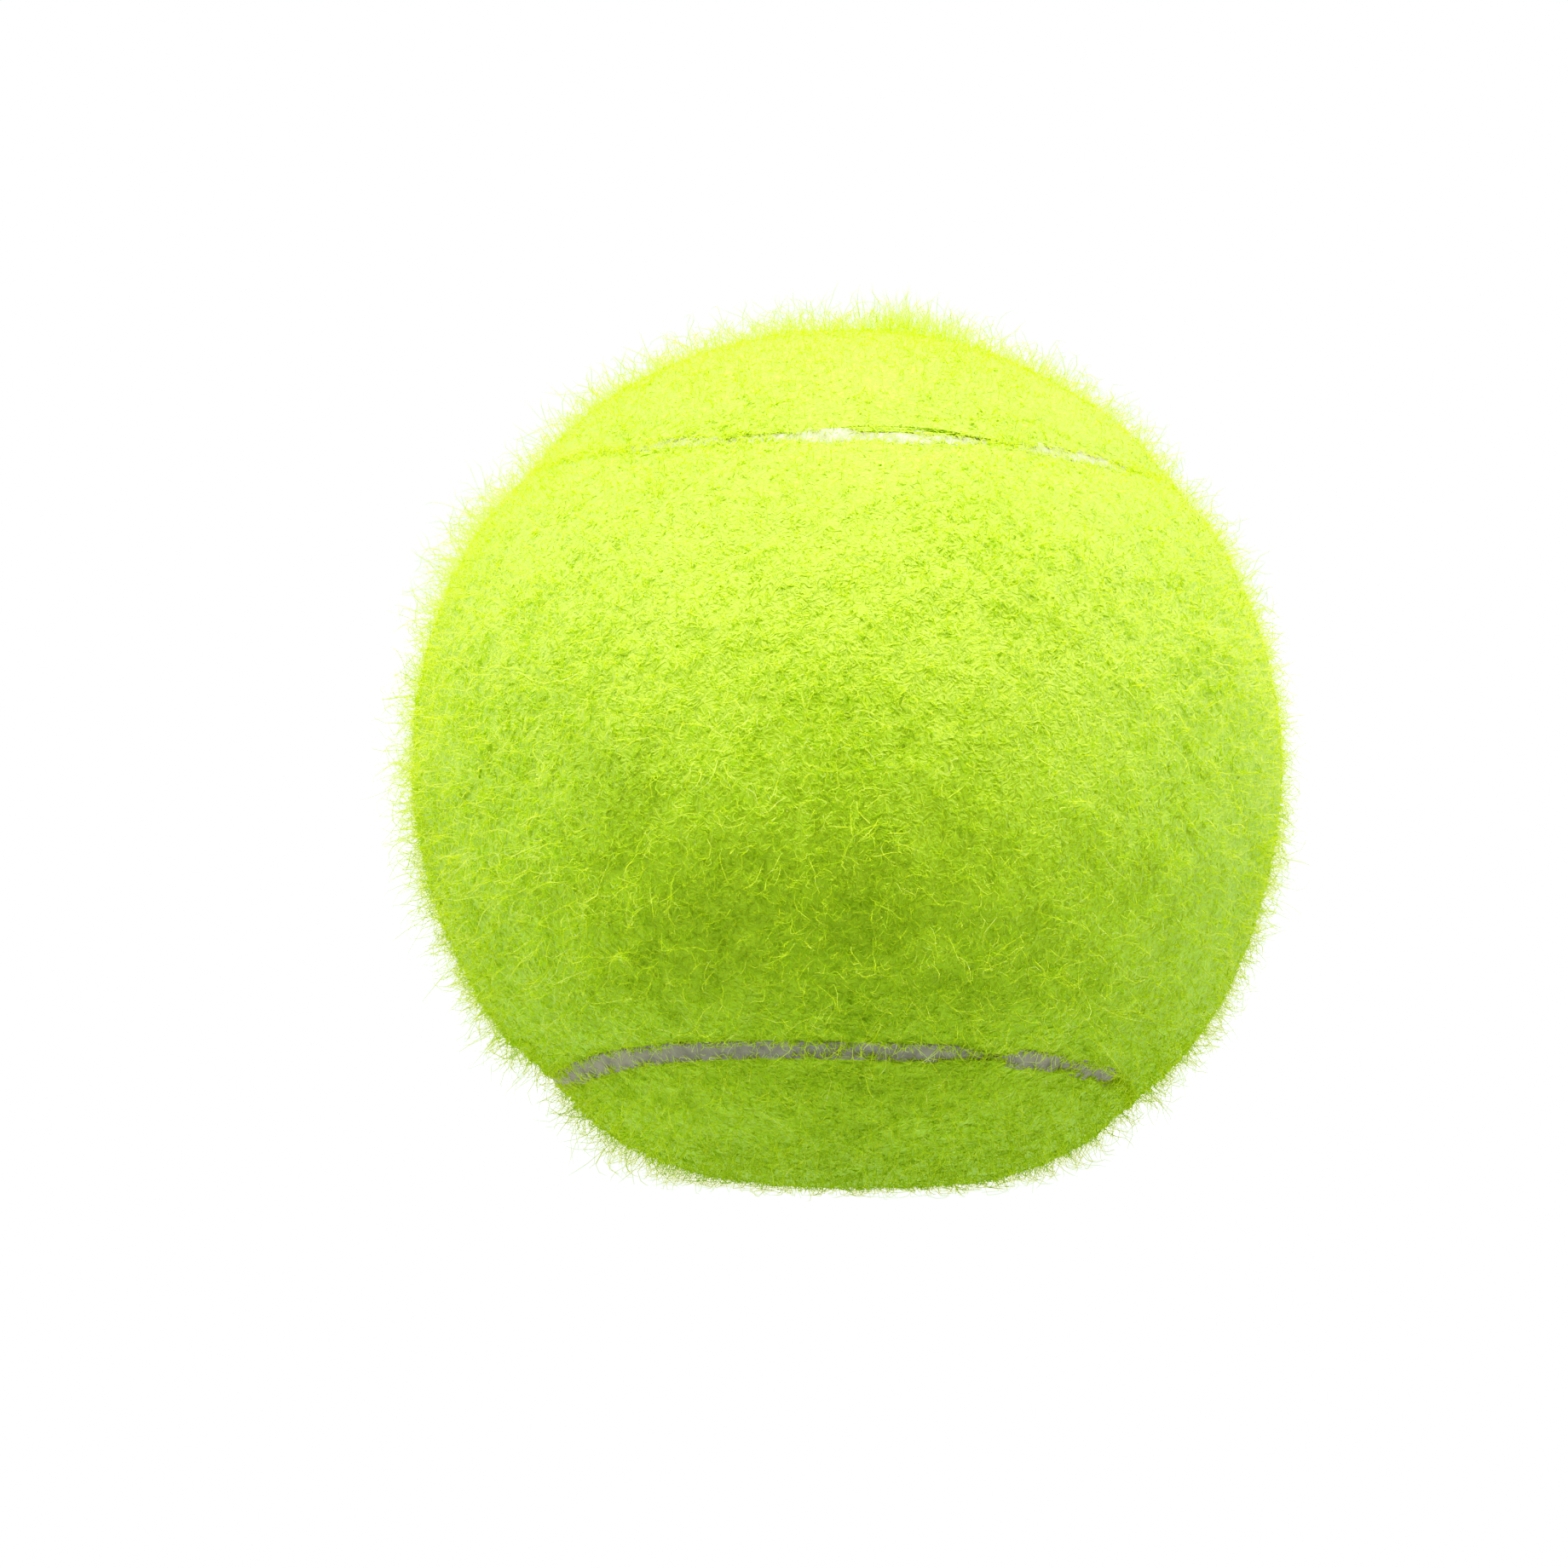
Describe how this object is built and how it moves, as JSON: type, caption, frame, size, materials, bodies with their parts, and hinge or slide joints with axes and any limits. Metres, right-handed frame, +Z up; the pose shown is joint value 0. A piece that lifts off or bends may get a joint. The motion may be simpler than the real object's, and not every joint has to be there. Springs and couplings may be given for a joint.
{
  "type": "tennis ball",
  "caption": "Hollow pressurised rubber ball under two interlocking dog-bone panels of fuzzy lime-yellow felt, joined by a pale recessed cement seam.",
  "frame": {"origin": "centre of the ball", "axes": "+Z up as the ball rests, -Y towards the viewer of the picture, +X to that viewer's right"},
  "size_m": [0.067, 0.067, 0.0657],
  "materials": {
    "core_rubber": "matt moulded natural rubber with a little filler, dark grey",
    "rim_cement": "thin film of cured rubber cement, pale grey",
    "rubber_coat": "cured rubber solution, satin, brownish grey",
    "panel_backing": "rubber solution soaked into a cotton weave, matt",
    "felt": "fluorescent lime-yellow wool and nylon felt with a raised, curly, slightly shiny nap",
    "seam_cement": "matt grey-white vulcanised seam cement with fibres caught along its edges"
  },
  "bodies": {
    "root": {"core_half_top": "core_rubber", "core_half_bottom": "core_rubber", "core_rim_cement": "rim_cement", "core_coat": "rubber_coat", "panel_backing_a": "panel_backing", "panel_backing_b": "panel_backing", "felt_panel_a": "felt", "felt_panel_b": "felt", "seam_cement": "seam_cement"}
  },
  "joints": []
}
